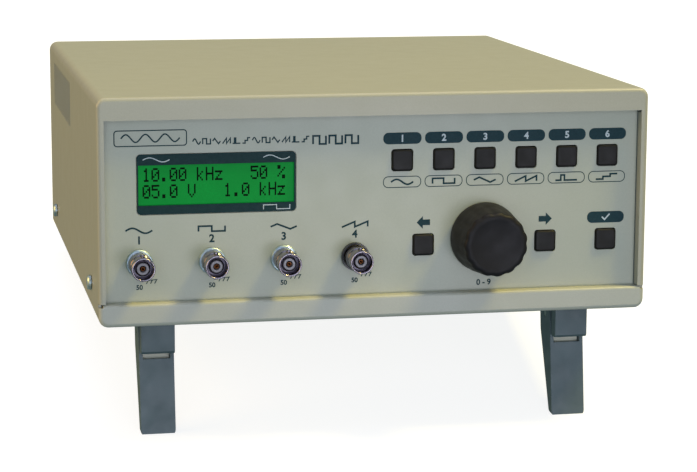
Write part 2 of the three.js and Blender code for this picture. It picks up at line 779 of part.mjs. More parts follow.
function rockerFrame() {
  const { halfWidth: w, halfHeight: h, front, wall, lip, rise } = ROCKER_BODY;
  const seat = BACK.back + GAP;
  const body = block(around(0, w), [front, seat + rise], around(0, h));
  const flange = block(around(0, w + lip), [seat, seat + rise], around(0, h + lip));
  const well = block(around(0, w - wall), [front + 2, seat + 2 * rise], around(0, h - wall));
  return cut(join(body, flange), well);
}

// Rocker with a slightly hollow face, tipped so that its upper half is pressed in.
function powerRocker() {
  const { half, rise, dip, hub, hubHalf } = ROCKER_FACE;
  const outline = polygon([
    [hub, -hubHalf],
    [rise, -half],
    [dip, 0],
    [rise, half],
    [hub, hubHalf],
  ]);
  const width = ROCKER_BODY.halfWidth - ROCKER_BODY.wall - 0.5;
  return alongX(outline, around(0, width)).rotateX(THREE.MathUtils.degToRad(ROCKER.swing));
}

place("rear_panel", rearPanel(), panelPaint);
place("power_inlet", powerInlet(), blackPlastic, [INLET.x, 0, INLET.z]);
place("fuse_drawer", fuseDrawer(), blackPlastic, [INLET.x, 0, INLET.z]);
place("rocker_frame", rockerFrame(), blackPlastic, [ROCKER.x, 0, ROCKER.z]);
place("power_rocker", powerRocker(), blackPlastic, [ROCKER.x, ROCKER.y, ROCKER.z]);

// ---------------------------------------------------------------- inside the case

function mainBoard() {
  const top = BOARD.z[1];
  const chips = CHIPS.map(({ x, y, width, depth }) =>
    block(around(x, width / 2), around(y, depth / 2), [top - 0.2, top + CHIP_HEIGHT]),
  );
  return join(block(BOARD.x, BOARD.y, BOARD.z), ...chips);
}

// Laminated core with two windows, and the coil wound round its middle limb.
function transformerCore() {
  const { half: [x, y, z], limb } = CORE;
  const windows = Object.values(SIDES).map((sign) =>
    block(around((sign * x) / 2, x / 2 - limb), around(0, y + 1), around(0, z - limb)),
  );
  return cut(block(around(0, x), around(0, y), around(0, z)), ...windows);
}

function transformerCoil() {
  const [x, y, z] = COIL.half.map((half) => around(0, half));
  const limb = around(0, CORE.limb + GAP);
  const bore = block(limb, around(0, CORE.half[1] + GAP), around(0, 2 * COIL.half[2]));
  return cut(block(x, y, z), bore);
}

// Comb of upright fins on a base plate.
function heatSink() {
  const { halfWidth: w, halfHeight: h, plate, fins, fin, reach } = HEAT_SINK;
  const pitch = (2 * w - fin) / (fins - 1);
  const comb = Array.from({ length: fins }, (_, i) =>
    block(around((i - (fins - 1) / 2) * pitch, fin / 2), [plate / 2 - 1, reach], around(0, h)),
  );
  return join(block(around(0, w), around(0, plate / 2), around(0, h)), ...comb);
}

function capacitor() {
  const { x, y, radius, top } = CAPACITOR;
  return alongZ(disc(x, y, radius), [BOARD.z[1] + GAP, top], 10);
}

place("main_board", mainBoard(), circuitBoard);
place("transformer_core", transformerCore(), transformerIron, CORE.at);
place("transformer_coil", transformerCoil(), copperWire, CORE.at);
place("heat_sink", heatSink(), aluminium, HEAT_SINK.at);
place("smoothing_capacitor", capacitor(), blackPlastic);

// ---------------------------------------------------------------- stand on the ground

// Turn the case about X as the deployed legs hold it, then set its feet on Z = 0 and centre it.
instrument.rotation.x = -TILT;
instrument.updateMatrixWorld(true);
const bounds = new THREE.Box3().setFromObject(instrument, true);
const middle = bounds.getCenter(new THREE.Vector3());
instrument.position.set(-middle.x, -middle.y, -bounds.min.z);

export default instrument;
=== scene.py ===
import json
import math

import bmesh
import bpy
from mathutils import Matrix, Vector

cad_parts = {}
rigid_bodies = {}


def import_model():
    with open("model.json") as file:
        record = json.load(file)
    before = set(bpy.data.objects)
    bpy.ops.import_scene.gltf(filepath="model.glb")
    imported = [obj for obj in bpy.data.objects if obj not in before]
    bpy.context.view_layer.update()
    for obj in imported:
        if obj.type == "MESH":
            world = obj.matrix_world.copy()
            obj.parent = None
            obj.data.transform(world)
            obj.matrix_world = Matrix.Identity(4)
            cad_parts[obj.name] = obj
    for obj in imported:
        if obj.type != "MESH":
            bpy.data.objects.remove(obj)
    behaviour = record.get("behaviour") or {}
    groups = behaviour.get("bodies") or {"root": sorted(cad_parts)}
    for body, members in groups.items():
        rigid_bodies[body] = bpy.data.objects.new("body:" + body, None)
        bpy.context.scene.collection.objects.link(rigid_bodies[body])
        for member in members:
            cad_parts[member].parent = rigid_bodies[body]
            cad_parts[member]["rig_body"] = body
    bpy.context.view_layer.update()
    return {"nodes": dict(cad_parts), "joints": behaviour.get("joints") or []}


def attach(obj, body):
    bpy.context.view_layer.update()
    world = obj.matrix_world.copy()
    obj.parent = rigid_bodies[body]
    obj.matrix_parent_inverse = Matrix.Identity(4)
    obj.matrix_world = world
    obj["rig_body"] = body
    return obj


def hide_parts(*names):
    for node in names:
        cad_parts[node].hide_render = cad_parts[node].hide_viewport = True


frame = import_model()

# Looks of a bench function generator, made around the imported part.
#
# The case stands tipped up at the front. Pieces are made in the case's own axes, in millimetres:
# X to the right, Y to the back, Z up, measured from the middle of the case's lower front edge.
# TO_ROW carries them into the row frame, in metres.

MM = 0.001
JOINT = {joint["name"]: joint for joint in frame["joints"]}
RIGHT = Vector((1, 0, 0))
BACK = Vector(JOINT["knob_turn"]["axis"])
UP = RIGHT.cross(BACK)
CASE_AXES = Matrix((RIGHT, BACK, UP))


def along_case(node):
    """Every corner of a CAD node measured along the case's axes, in millimetres."""
    return [CASE_AXES @ vertex.co / MM for vertex in frame["nodes"][node].data.vertices]


def lowest(points):
    """The smallest x, y and z among the points."""
    return Vector([min(point[i] for point in points) for i in range(3)])


def highest(points):
    """The largest x, y and z among the points."""
    return Vector([max(point[i] for point in points) for i in range(3)])


tray_corner = lowest(along_case("lower_tray"))
CASE_ORIGIN = Vector((0, tray_corner.y, tray_corner.z))
TO_ROW = (
    CASE_AXES.transposed().to_4x4()
    @ Matrix.Scale(MM, 4)
    @ Matrix.Translation(CASE_ORIGIN)
)
FROM_ROW = TO_ROW.inverted()


class Span:
    """The box of a CAD node in case axes."""

    def __init__(self, node):
        points = along_case(node)
        self.low = lowest(points) - CASE_ORIGIN
        self.high = highest(points) - CASE_ORIGIN
        self.middle = (self.low + self.high) / 2
        self.size = self.high - self.low


CASE = Span("upper_cover")
PANEL = Span("front_panel")
PANEL_FACE = PANEL.low.y
INK_FACE = PANEL_FACE - 0.03  # printed ink stands this little off the panel
INK_LIFT = 0.02  # ink on the screen, on the window or on other ink, off what it is printed on
UPPER_KEYS = [f"key_{i}" for i in range(1, 7)]
ARROW_KEYS = ["key_arrow_left", "key_arrow_right"]
KEYS = UPPER_KEYS + ARROW_KEYS + ["key_enter"]
JACKS = [f"jack_{i}" for i in range(1, 5)]
INSULATED_JACK = "jack_4"


# ------------------------------------------------------------------ finishes

def linear(red, green, blue):
    """A colour given as 0 to 255 screen values, as the renderer wants it."""
    def channel(value):
        value /= 255
        return value / 12.92 if value <= 0.04045 else ((value + 0.055) / 1.055) ** 2.4
    return (channel(red), channel(green), channel(blue), 1)


class Finish:
    """A material with one principled shader, and short calls for its usual detail.

    Settings are inputs of the shader, with _ for a space. Sizes and depths are in millimetres.
    """

    def __init__(self, name, **settings):
        self.material = bpy.data.materials.new(name)
        self.material.use_nodes = True
        self.tree = self.material.node_tree
        self.shader = self.tree.nodes["Principled BSDF"]
        self.place = self.tree.nodes.new("ShaderNodeTexCoord").outputs["Object"]
        for socket, value in settings.items():
            self.shader.inputs[socket.replace("_", " ")].default_value = value

    def node(self, kind, **settings):
        """A new shader node."""
        made = self.tree.nodes.new(kind)
        for key, value in settings.items():
            setattr(made, key, value)
        return made

    def link(self, source, target):
        self.tree.links.new(source, target)

    def noise(self, size_mm, detail=3.0, roughness=0.5, stretch=(1, 1, 1)):
        """Soft random values from 0 to 1 whose blotches are about size_mm across."""
        mapping = self.node("ShaderNodeMapping")
        mapping.inputs["Scale"].default_value = stretch
        self.link(self.place, mapping.inputs["Vector"])
        noise = self.node("ShaderNodeTexNoise")
        noise.inputs["Scale"].default_value = 1 / (size_mm * MM)
        noise.inputs["Detail"].default_value = detail
        noise.inputs["Roughness"].default_value = roughness
        self.link(mapping.outputs["Vector"], noise.inputs["Vector"])
        return noise.outputs["Fac"]

    def spread(self, value, low, high, start=0.3, end=0.7):
        """Maps the stretch start..end of a 0 to 1 value onto low..high."""
        mapped = self.node("ShaderNodeMapRange")
        mapped.inputs["From Min"].default_value = start
        mapped.inputs["From Max"].default_value = end
        mapped.inputs["To Min"].default_value = low
        mapped.inputs["To Max"].default_value = high
        self.link(value, mapped.inputs["Value"])
        return mapped.outputs["Result"]

    def mix(self, factor, first, second):
        """A colour between two, each a colour or another node's output."""
        mixer = self.node("ShaderNodeMix", data_type="RGBA")
        self.link(factor, mixer.inputs["Factor"])
        for socket, colour in ((mixer.inputs[6], first), (mixer.inputs[7], second)):
            if isinstance(colour, tuple):
                socket.default_value = colour
            else:
                self.link(colour, socket)
        return mixer.outputs[2]

    def colour(self, source):
        self.link(source, self.shader.inputs["Base Color"])

    def roughness(self, source):
        self.link(source, self.shader.inputs["Roughness"])

    def bump(self, height, depth_mm):
        """Raises the surface by depth_mm where height is 1, on top of any bump set before."""
        bump = self.node("ShaderNodeBump")
        bump.inputs["Strength"].default_value = 1.0
        bump.inputs["Distance"].default_value = depth_mm * MM
        self.link(height, bump.inputs["Height"])
        before = self.shader.inputs["Normal"].links
        if before:
            self.link(before[0].from_socket, bump.inputs["Normal"])
        self.link(bump.outputs["Normal"], self.shader.inputs["Normal"])


def shade(colour, factor):
    """The colour made darker or lighter."""
    return tuple(channel * factor for channel in colour[:3]) + (1,)


def enamel(name, colour):
    """Baked enamel on sheet steel: fine orange peel under a satin gloss, with faint clouding."""
    finish = Finish(name, IOR=1.5)
    cloud = finish.spread(finish.noise(45, 4), 0, 1)
    speck = finish.spread(finish.noise(0.6, 2), 0, 1, 0.35, 0.65)
    clouded = finish.mix(cloud, shade(colour, 0.985), shade(colour, 1.015))
    finish.colour(finish.mix(speck, shade(colour, 0.96), clouded))
    finish.roughness(finish.spread(finish.noise(9, 3), 0.33, 0.38))
    finish.bump(finish.noise(1.3, 2), 0.02)
    finish.bump(finish.noise(0.45, 2), 0.006)
    return finish.material


def moulded(name, colour, rough=0.5, grain_mm=0.35, depth_mm=0.02, **settings):
    """Injection-moulded plastic with a fine spark-eroded grain and a little handling shine."""
    finish = Finish(name, IOR=1.49, **settings)
    grain = finish.noise(grain_mm, 3)
    worn = finish.spread(finish.noise(14, 4), 0, 1)
    finish.colour(finish.mix(worn, shade(colour, 0.9), shade(colour, 1.12)))
    finish.roughness(finish.spread(finish.noise(6, 3), rough - 0.07, rough + 0.07))
    finish.bump(grain, depth_mm)
    return finish.material


def plated(name, colour, rough=0.16, turned_marks=0.004):
    """Plated metal: clear reflections with faint machining marks and dull patches."""
    finish = Finish(name, Metallic=1.0)
    dull = finish.spread(finish.noise(3, 4), 0, 1)
    finish.colour(finish.mix(dull, shade(colour, 0.86), shade(colour, 1.06)))
    finish.roughness(finish.spread(finish.noise(1.6, 3), rough * 0.7, rough * 1.5))
    finish.bump(finish.noise(0.25, 2, stretch=(0.2, 1, 1)), turned_marks)
    return finish.material


def ink(name, colour, rough=0.45, **settings):
    """Screen-printed ink: a hair uneven in cover and in shine."""
    finish = Finish(name, IOR=1.5, **settings)
    thin = finish.spread(finish.noise(0.8, 3), 0, 1)
    finish.colour(finish.mix(thin, shade(colour, 0.88), shade(colour, 1.12)))
    finish.roughness(finish.spread(finish.noise(1.5, 2), rough - 0.06, rough + 0.06))
    return finish.material


GLOW = 0.4  # light the display gives of its own, beside what falls on it


def lit_glass(name, colour):
    """Back-lit display glass under a clear film: light comes through a little unevenly."""
    finish = Finish(name, Roughness=0.35, Specular_IOR_Level=0.05)
    uneven = finish.spread(finish.noise(16, 3), 0, 1)
    mottle = finish.spread(finish.noise(0.7, 2), 0, 1)
    glow = finish.mix(uneven, shade(colour, 0.86), shade(colour, 1.1))
    glow = finish.mix(mottle, shade(colour, 0.93), glow)
    finish.colour(glow)
    finish.link(glow, finish.shader.inputs["Emission Color"])
    finish.shader.inputs["Emission Strength"].default_value = GLOW
    return finish.material


LOOK = {
    "cover": enamel("beige_enamel", linear(172, 169, 150)),
    "tray": enamel("tray_enamel", linear(184, 183, 166)),
    "panel": enamel("panel_enamel", linear(176, 178, 158)),
    "foot": moulded("slate_plastic", linear(81, 96, 98), 0.45, 0.5, 0.01),
    # painted light: a pale strip that stands for the light seen through the slot under each foot
    # bracket
    "slot_light": moulded("painted_slot_light", linear(206, 204, 180), 0.5, 0.5, 0.01),
    "key": moulded(
        "charcoal_plastic", linear(28, 26, 24), 0.5, 0.3, 0.02, Specular_IOR_Level=0.25
    ),
    "knob": moulded(
        "black_plastic", linear(29, 27, 28), 0.5, 0.35, 0.02, Specular_IOR_Level=0.2
    ),
    "gloss_black": moulded("gloss_black_plastic", linear(24, 24, 25), 0.3, 0.8, 0.01),
    "nickel": plated("nickel_plate", linear(150, 141, 148), 0.2),
    # painted light: pale lavender brightens the ring in the shade at the bottom of each bore
    "bore_ring_light": moulded("bore_ring_painted_light", linear(206, 196, 214), 0.35, 0.4, 0.01),
    "washer": plated("satin_nickel", linear(188, 204, 208), 0.42),
    "zinc": plated("zinc_plate", linear(150, 158, 146), 0.3),
    "gold": plated("gold_plate", linear(128, 80, 46), 0.35),
    "dielectric": moulded("dielectric", linear(136, 130, 132), 0.3, 0.5, 0.008),
    "ink": ink("teal_ink", linear(33, 60, 65), Specular_IOR_Level=0.1),
    # painted shadow of the gap between the panel and the rim
    "gap_shadow": ink("painted_gap_shadow", linear(84, 90, 84), 0.7),
    "pale_ink": ink("pale_ink", linear(196, 206, 206)),
    "window": ink("window_film", linear(17, 50, 51), 0.4, Specular_IOR_Level=0.1),
    "screen": lit_glass("green_screen", linear(4, 126, 46)),
    "pixel": ink("screen_dots", linear(3, 10, 5), 0.6, Specular_IOR_Level=0.05),
    "board": moulded("circuit_board", linear(34, 92, 58), 0.45, 1.5, 0.02),
    "iron": plated("transformer_iron", linear(84, 84, 86), 0.5),
    "winding": moulded("taped_winding", linear(150, 84, 46), 0.5, 2.0, 0.05),
    "aluminium": plated("extruded_aluminium", linear(190, 192, 194), 0.35),
}


# ------------------------------------------------------------------ making meshes

def add(name, shape, look, body, stands_for=(), bevel=0.0, smooth_below=32):
    """Turns a shape made in case axes into a piece that rides on a body."""
    mesh = bpy.data.meshes.new(name)
    shape.to_mesh(mesh)
    shape.free()
    mesh.transform(TO_ROW)
    mesh.materials.append(LOOK[look])
    for face in mesh.polygons:
        face.use_smooth = True
    obj = bpy.data.objects.new(name, mesh)
    bpy.context.scene.collection.objects.link(obj)
    if bevel:
        rounding = obj.modifiers.new("edges", "BEVEL")
        rounding.width = bevel * MM
        rounding.segments = 3
        rounding.limit_method = "ANGLE"
        rounding.angle_limit = math.radians(smooth_below)
        flatten = obj.modifiers.new("flat faces", "WEIGHTED_NORMAL")
        flatten.weight = 100
        flatten.keep_sharp = True
    else:
        mesh.set_sharp_from_angle(angle=math.radians(smooth_below))
    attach(obj, body)
    if stands_for:
        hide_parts(*stands_for)
    return obj


def cad_shape(node):
    """A copy of a CAD node in case axes, with shared corners joined and flat faces merged."""
    shape = bmesh.new()
    shape.from_mesh(frame["nodes"][node].data)
    bmesh.ops.remove_doubles(shape, verts=shape.verts, dist=0.002 * MM)
    bmesh.ops.dissolve_limit(
        shape, angle_limit=math.radians(0.6), verts=shape.verts, edges=shape.edges
    )
    shape.transform(FROM_ROW)
    return shape


def body_of(node):
    """The body that a CAD node moves with."""
    return frame["nodes"][node]["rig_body"]


def finish_cad(node, look, bevel):
    """The CAD node's own shape with softened edges and a finish."""
    return add(f"{node}_skin", cad_shape(node), look, body_of(node), [node], bevel)


def dress(node, look):
    """A CAD node shown as it is, with a finish."""
    materials = frame["nodes"][node].data.materials
    materials.clear()
    materials.append(LOOK[look])


def circle(radius, steps):
    """Points anticlockwise round a circle centred on zero."""
    turn = 2 * math.pi / steps
    return [(radius * math.cos(i * turn), radius * math.sin(i * turn)) for i in range(steps)]


def rounded_rectangle(width, height, radius, steps=6):
    """Points anticlockwise round a rectangle with round corners, centred on zero."""
    points = []
    for corner, (sx, sy) in enumerate(((1, 1), (-1, 1), (-1, -1), (1, -1))):
        for i in range(steps + 1):
            angle = (corner + i / steps) * math.pi / 2
            points.append((
                sx * (width / 2 - radius) + radius * math.cos(angle),
                sy * (height / 2 - radius) + radius * math.sin(angle),
            ))
    return points


def loft(rings, close_start=True, close_end=True):
    """Skin over rings with the same number of points. Each ring is a list of 3-D points."""
    shape = bmesh.new()
    loops = [[shape.verts.new(point) for point in ring] for ring in rings]
    for first, second in zip(loops, loops[1:]):
        for i, corner in enumerate(first):
            j = (i + 1) % len(first)
            shape.faces.new((corner, first[j], second[j], second[i]))
    if close_start:
        shape.faces.new(list(reversed(loops[0])))
    if close_end:
        shape.faces.new(loops[-1])
    bmesh.ops.recalc_face_normals(shape, faces=shape.faces)
    return shape


def turned(profile, centre, steps=48, radial=lambda radius, y, angle: radius):
    """A profile of (radius, y) points turned about an axis along Y through centre."""
    rings = []
    for radius, y in profile:
        ring = []
        for i in range(steps):
            angle = 2 * math.pi * i / steps
            reach = radial(radius, y, angle)
            ring.append((
                centre.x + reach * math.cos(angle),
                y,
                centre.z + reach * math.sin(angle),
            ))
        rings.append(ring)
    return rings


def arc(centre, radius, start_deg, end_deg, steps=6):
    """Points of a circular arc in a profile."""
    angles = [
        math.radians(start_deg + (end_deg - start_deg) * i / steps) for i in range(steps + 1)
    ]
    return [(centre[0] + radius * math.cos(a), centre[1] + radius * math.sin(a)) for a in angles]


def merged(*shapes):
    """Several shapes as one."""
    whole = shapes[0]
    for shape in shapes[1:]:
        mesh = bpy.data.meshes.new("part")
        shape.to_mesh(mesh)
        shape.free()
        whole.from_mesh(mesh)
        bpy.data.meshes.remove(mesh)
    return whole


# ------------------------------------------------------------------ case

finish_cad("upper_cover", "cover", 0.25)
finish_cad("lower_tray", "tray", 0.25)
finish_cad("front_panel", "panel", 0.15)
finish_cad("rear_panel", "panel", 0.15)
for side in ("left", "right"):
    for end in ("front", "rear"):
        finish_cad(f"screw_{side}_{end}", "washer", 0.12)


# ------------------------------------------------------------------ keys and knob

CAP_WIDTH = 8.7
CAP_RIM = 0.7
CAP_CORNER = 1.2
CAP_HOLLOW = 0.08  # how far the face dips inside its rim
HOLLOW_INSET = 1.9  # where the dip reaches its depth, in from the cap's side
CORNER_TIGHTENING = 0.4  # how much the corners tighten for each millimetre inwards


def key_cap(node):
    """Square cap with round corners, a softened rim and a faintly hollow face."""
    span = Span(node)
    middle = span.middle
    front = span.low.y
    layers = [(0, middle.y)]
    layers += [(CAP_RIM - run, y) for run, y in arc((0, front + CAP_RIM), CAP_RIM, 0, -90, 5)]
    layers.append((HOLLOW_INSET, front + CAP_HOLLOW))
    rings = []
    for inset, y in layers:
        width = CAP_WIDTH - 2 * inset
        outline = rounded_rectangle(width, width, CAP_CORNER - inset * CORNER_TIGHTENING)
        rings.append([(middle.x + x, y, middle.z + z) for x, z in outline])
    return loft(rings)


for key in KEYS:
    add(f"{key}_cap", key_cap(key), "key", key, [key])


KNOB_FACE_INSET = 1.3  # how much narrower the knob is at its face than at its foot
KNOB_ROUNDING = 2.0
FLUTES = 15
FLUTE_DEPTH = 0.5
FOOT_BAND = 3.5  # smooth stretch at the back of the knob
FACE_RIM = 3.0  # flat ring round the dished face
DISH_DEPTH = (0.12, 0.2)  # of the dished face, at its edge and in its middle
KNOB_HOLLOW = {"radius": 10, "depth": 5.4}  # recess in its back, which clears the encoder's nut
SHAFT_GAP = 0.3  # round the shaft and at its end


def knob_shape():
    """Knob whose finger flutes fade out towards its smooth foot. It narrows towards its dished
    face."""
    span = Span("control_knob")
    front, back = span.low.y, span.high.y
    foot = span.size.x / 2
    face = foot - KNOB_FACE_INSET
    round_start = front + KNOB_ROUNDING
    skirt_end = back - KNOB_ROUNDING

    def radial(radius, y, angle):
        """The radius less the flutes, which deepen towards the face and stay near the rim."""
        run_out = back - FOOT_BAND
        towards_face = min(max((run_out - y) / (run_out - front), 0), 1)
        rim = min(radius / face, 1) ** 6
        lobe = 0.5 + 0.5 * math.cos(FLUTES * angle)
        return radius - rim * towards_face ** 0.7 * FLUTE_DEPTH * lobe ** 1.5

    shaft = Span("encoder_shaft")
    socket = shaft.size.x / 2 + SHAFT_GAP
    hollow_floor = back - KNOB_HOLLOW["depth"]
    profile = [(socket, shaft.low.y - SHAFT_GAP), (socket, hollow_floor)]
    profile += [(KNOB_HOLLOW["radius"], hollow_floor), (KNOB_HOLLOW["radius"], back)]
    profile += [(foot - 1, back), (foot - 0.3, back - 0.1), (foot, back - 0.5), (foot, skirt_end)]
    side_steps = 10
    for i in range(1, side_steps + 1):
        along = i / side_steps
        radius = foot + (face - foot) * along
        profile.append((radius, skirt_end + (round_start - skirt_end) * along))
    profile += arc((face - KNOB_ROUNDING, round_start), KNOB_ROUNDING, 0, -90, 6)[1:]
    edge_depth, middle_depth = DISH_DEPTH
    profile += [(face - FACE_RIM, front), (face - FACE_RIM - 0.4, front + edge_depth)]
    profile.append((2, front + middle_depth))
    return loft(turned(profile, span.middle, 10 * FLUTES, radial))


add("knob_skin", knob_shape(), "knob", "knob", ["control_knob"])
dress("encoder_shaft", "nickel")
dress("encoder_body", "nickel")
dress("encoder_nut", "nickel")


# ------------------------------------------------------------------ coaxial jacks

SHELL_RADIUS = 4.85
SHELL_BORE = 4.1
BORE_DEPTH = 6.5
SHELL_STEM = 4.4  # radius of the shell inside the case
SLEEVE = {"inner": 2.8, "outer": 3.15, "behind_mouth": 2.7}
BAYONET_GROOVE = (2.0, 7.4)  # the shell is turned down between these depths behind its mouth
GROOVE_DEPTH = 0.25
LUG_BEHIND_MOUTH = 4.4
LUG_RINGS = ((-0.5, 1.0), (0.6, 1.0), (0.75, 0.8))  # height over the shell, and radius
FLANGE_DEPTH = 1.4  # of the round flange that sits against the panel
FLANGE_SEAT = PANEL_FACE - 0.3
SEAL_THICKNESS = 1.2
INSULATOR_BORE = 1.3
CONTACT_BORE = 0.5
CONTACT_DEPTH = 5.0


def jack_shell(jack):
    """Bayonet shell: rolled mouth, open bore round an inner sleeve, and two lugs."""
    span = Span(f"{jack}_shell")
    centre = span.middle
    mouth, end = span.low.y, span.high.y
    lip = (SHELL_RADIUS - SHELL_BORE) / 2
    sleeve, sleeve_bore = SLEEVE["outer"], SLEEVE["inner"]
    sleeve_front = mouth + SLEEVE["behind_mouth"]
    turned_down = SHELL_RADIUS - GROOVE_DEPTH
    groove_start, groove_end = (mouth + depth for depth in BAYONET_GROOVE)
    floor = mouth + BORE_DEPTH
    profile = [(sleeve_bore, end), (sleeve_bore, sleeve_front + 0.3), (sleeve, sleeve_front)]
    profile += [(sleeve, floor), (SHELL_BORE, floor), (SHELL_BORE, mouth + lip)]
    profile += arc((SHELL_RADIUS - lip, mouth + lip), lip, 180, 360, 6)[1:]
    profile += [(SHELL_RADIUS, groove_start), (turned_down, groove_start + 0.2)]
    profile += [(turned_down, groove_end), (SHELL_RADIUS, groove_end + 0.2)]
    profile += [(SHELL_RADIUS, FLANGE_SEAT), (SHELL_STEM, FLANGE_SEAT), (SHELL_STEM, end)]
    shell = loft(turned(profile, centre, 48), False, False)
    lugs = []
    for side in (-1, 1):
        rings = []
        for height, radius in LUG_RINGS:
            z = centre.z + side * (SHELL_RADIUS + height)
            rings.append([
                (centre.x + x, mouth + LUG_BEHIND_MOUTH + y, z) for x, y in circle(radius, 16)
            ])
        lugs.append(loft(rings))
    return merged(shell, *lugs)


def jack_flange(jack):
    """Round flange against the panel, with a bevelled front edge and a fine groove round it."""
    span = Span(f"{jack}_shell")
    radius = span.size.x / 2
    front = FLANGE_SEAT - FLANGE_DEPTH
    profile = [(SHELL_RADIUS, front), (radius - 0.5, front), (radius - 0.4, front + 0.1)]
    profile += [(radius - 0.3, front), (radius - 0.2, front + 0.05), (radius, front + 0.3)]
    profile += [(radius, FLANGE_SEAT), (SHELL_RADIUS, FLANGE_SEAT)]
    return loft(turned(profile, span.middle, 48), False, False)


def jack_seal(jack):
    """Ring with a rounded front at the bottom of the bore, painted pale lavender: painted light
    that brightens a ring lying in the bore's shade.
    """
    span = Span(f"{jack}_shell")
    floor = span.low.y + BORE_DEPTH
    inner, outer = SLEEVE["outer"] + 0.05, SHELL_BORE - 0.05
    shoulder = floor - SEAL_THICKNESS + 0.3
    profile = [(inner, floor), (inner, shoulder)]
    profile += arc(((inner + outer) / 2, shoulder), (outer - inner) / 2, 180, 360)[1:]
    profile.append((outer, floor))
    return loft(turned(profile, span.middle, 48), False, False)


def jack_insulator(jack):
    """Tube round the centre contact, with softened edges at its front."""
    span = Span(f"{jack}_insulator")
    radius = span.size.x / 2
    front, end = span.low.y, span.high.y
    bore = INSULATOR_BORE
    profile = [(bore, end), (bore, front + 0.3), (bore + 0.2, front), (radius - 0.2, front)]
    profile += [(radius, front + 0.2), (radius, end)]
    return loft(turned(profile, span.middle, 32), False, False)


def jack_contact(jack):
    """Centre socket: a thin tube with a rounded lip and a deep bore."""
    span = Span(f"{jack}_contact")
    radius = span.size.x / 2
    front, end = span.low.y, span.high.y
    bore = CONTACT_BORE
    deep = front + CONTACT_DEPTH
    profile = [(bore / 4, deep), (bore, deep), (bore, front + 0.2), (bore + 0.15, front)]
    profile += [(radius - 0.15, front), (radius, front + 0.15), (radius, end)]
    return loft(turned(profile, span.middle, 24), True, True)


for jack in JACKS:
    add(f"{jack}_body", jack_shell(jack), "nickel", "case", [f"{jack}_shell"])
    # the ring at the bottom of the bore is painted pale: painted light in the bore's shade
    add(f"{jack}_seal", jack_seal(jack), "bore_ring_light", "case")
    if jack != INSULATED_JACK:
        add(f"{jack}_flange", jack_flange(jack), "washer", "case")
    insulator = jack_insulator(jack)
    add(f"{jack}_core", insulator, "dielectric", "case", [f"{jack}_insulator"])
    add(f"{jack}_pin", jack_contact(jack), "gold", "case", [f"{jack}_contact"])
    dress(f"{jack}_nut", "nickel")
finish_cad(f"{INSULATED_JACK}_bush", "gloss_black", 0.2)


# ------------------------------------------------------------------ display

WINDOW = Span("display_window")
SCREEN = Span("display_cell")
VIEW_WIDTH = 64.5  # of the clear part of the window
VIEW_HEIGHT = 16.6
VIEW_MIDDLE_Z = SCREEN.middle.z
FILM_CORNER = 1.6

# Five columns by seven rows for each character shown, from the top row down.
DOTS = {
    "0": "01110 10001 10011 10101 11001 10001 01110",
    "1": "00100 01100 00100 00100 00100 00100 01110",
    "5": "11111 10000 11110 00001 00001 10001 01110",
    ".": "00000 00000 00000 00000 00000 01100 01100",
    "%": "11000 11001 00010 00100 01000 10011 00011",
    "k": "10000 10000 10010 10100 11000 10100 10010",
    "H": "10001 10001 10001 11111 10001 10001 10001",
    "z": "00000 00000 11111 00010 00100 01000 11111",
    "V": "10001 10001 10001 10001 10001 01010 00100",
    " ": "00000 00000 00000 00000 00000 00000 00000",
}
READING = ["10.00 kHz   50 %", "05.0 V   1.0 kHz"]
CHARACTER_PITCH = 3.72
LINE_PITCH = 6.9
DOT_PITCH = (0.64, 0.8)
DOT = (0.63, 0.79)
READING_CORNER = (1.85, 1.3)  # first dot, in from the left and the top of the visible screen


def flat(points, y):
    """One flat face in the panel's plane, facing the front, from (x, z) points."""
    shape = bmesh.new()
    shape.faces.new([shape.verts.new((x, y, z)) for x, z in points])
    face_front(shape)
    return shape


def face_front(shape):
    """Turns every face towards the front."""
    for face in shape.faces:
        face.normal_update()
        if face.normal.y > 0:
            face.normal_flip()


def band(outer, inner, y):
    """A flat ring between two outlines with the same number of points."""
    shape = bmesh.new()
    loops = [[shape.verts.new((x, y, z)) for x, z in loop] for loop in (outer, inner)]
    for i in range(len(outer)):
        j = (i + 1) % len(outer)
        shape.faces.new((loops[0][i], loops[0][j], loops[1][j], loops[1][i]))
    face_front(shape)
    return shape


def moved(points, x, z):
    """The (x, z) points shifted by x and z."""
    return [(x + px, z + pz) for px, pz in points]


def display_dots():
    """The reading, one small square for each dark dot."""
    shape = bmesh.new()
    y = SCREEN.low.y - INK_LIFT
    left = WINDOW.middle.x - VIEW_WIDTH / 2 + READING_CORNER[0]
    top = VIEW_MIDDLE_Z + VIEW_HEIGHT / 2 - READING_CORNER[1]
    width, height = DOT
    for line, text in enumerate(READING):
        for place, character in enumerate(text):
            for row, bits in enumerate(DOTS[character].split()):
                for column, bit in enumerate(bits):
                    if bit == "0":
                        continue
                    x = left + place * CHARACTER_PITCH + column * DOT_PITCH[0]
                    z = top - line * LINE_PITCH - row * DOT_PITCH[1]
                    corners = [(x, z), (x + width, z), (x + width, z - height), (x, z - height)]
                    shape.faces.new([shape.verts.new((cx, y, cz)) for cx, cz in corners])
    face_front(shape)
    return shape


def window_film():
    """Dark printed border round the clear view of the screen, with a thin edge."""
    middle = WINDOW.middle
    outer = rounded_rectangle(WINDOW.size.x, WINDOW.size.z, FILM_CORNER)
    inner = rounded_rectangle(VIEW_WIDTH, VIEW_HEIGHT, 0.3)
    outer = moved(outer, middle.x, middle.z)
    inner = moved(inner, middle.x, VIEW_MIDDLE_Z)
    front, back = WINDOW.low.y, WINDOW.high.y
    rings = [
        [(x, front, z) for x, z in inner],
        [(x, front, z) for x, z in outer],
        [(x, back, z) for x, z in outer],
        [(x, back, z) for x, z in inner],
        [(x, front, z) for x, z in inner],
    ]
    return loft(rings, False, False)


